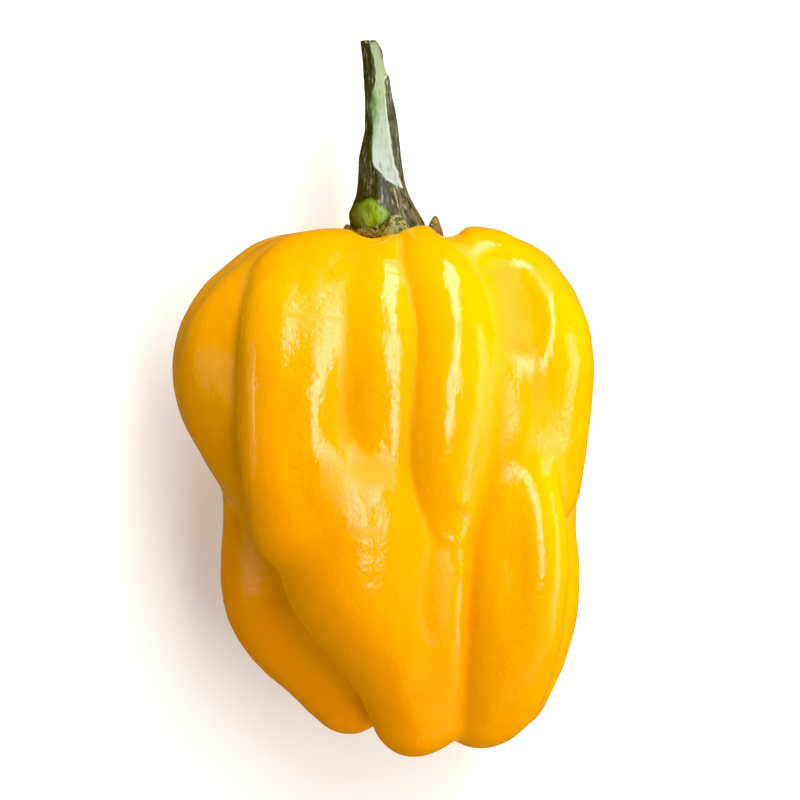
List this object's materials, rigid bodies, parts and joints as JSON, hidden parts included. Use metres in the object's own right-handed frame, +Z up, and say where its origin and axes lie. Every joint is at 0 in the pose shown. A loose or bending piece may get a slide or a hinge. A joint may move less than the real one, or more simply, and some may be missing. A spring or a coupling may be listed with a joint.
{
  "type": "habanero pepper",
  "caption": "Ripe yellow habanero pepper as picked: a lobed, furrowed pod with a small toothed calyx and a tapering cut stem, lying on its side.",
  "frame": {"origin": "on the surface that the pepper lies on, under the middle of its box", "axes": "+Y along the pod towards the stem's cut end, +Z up from the surface, X across the pod"},
  "size_m": [0.04, 0.0672, 0.0353],
  "materials": {
    "pod_skin": "waxy glossy pepper skin, yellow with orange furrows",
    "calyx_skin": "dull olive leafy skin with corky brown specks",
    "stem_bark": "ribbed green stem skin with dark corky streaks, satin"
  },
  "bodies": {
    "root": {"pod": "pod_skin", "calyx": "calyx_skin", "stem": "stem_bark"}
  },
  "joints": []
}
